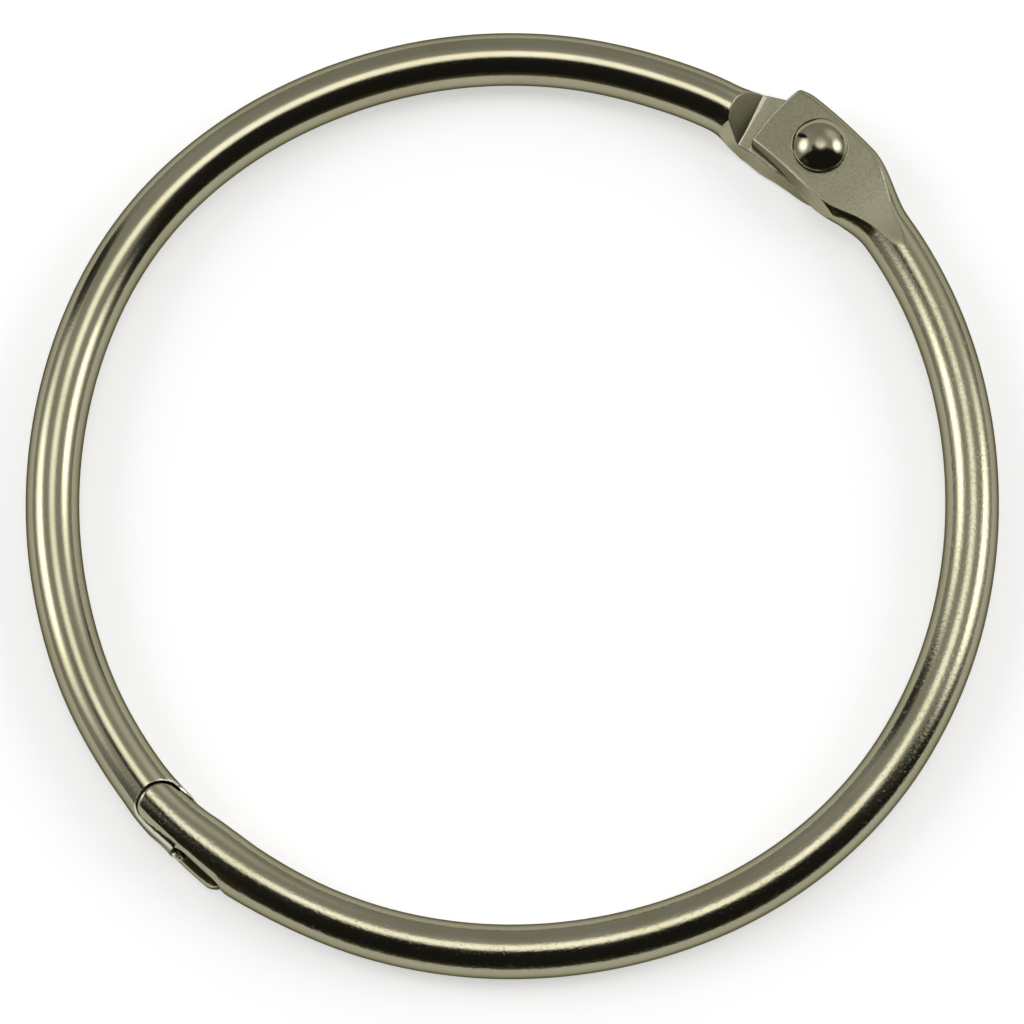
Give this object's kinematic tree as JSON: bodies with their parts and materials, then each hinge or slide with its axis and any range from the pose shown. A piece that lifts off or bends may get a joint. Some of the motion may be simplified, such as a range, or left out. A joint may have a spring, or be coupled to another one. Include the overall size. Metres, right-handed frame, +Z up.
{
  "type": "binder ring",
  "caption": "Hinged loose-leaf binder ring of round wire: two riveted half rings with a half-lap snap clasp.",
  "frame": {"origin": "centre of the closed ring, on the plane that it lies on", "axes": "+Z up out of the ring's plane, on the side of the rivet's head; the hinge lies in +X +Y and the clasp in -X -Y"},
  "size_m": [0.0862, 0.0862, 0.006],
  "materials": {
    "ring_nickel": "bright nickel plate on steel wire, a little satin on the pressed tabs",
    "rivet_nickel": "bright nickel plate, mirror smooth"
  },
  "bodies": {
    "lower_half": {"lower_half_ring": "ring_nickel", "hinge_rivet": "rivet_nickel"},
    "upper_half": {"upper_half_ring": "ring_nickel"}
  },
  "joints": [
    {"name": "ring_hinge", "type": "hinge", "parent": "lower_half", "child": "upper_half", "pos_m": [0.02738, 0.03173, 0.0024], "axis": [0, 0, 1], "range_deg": [0, 145]}
  ]
}
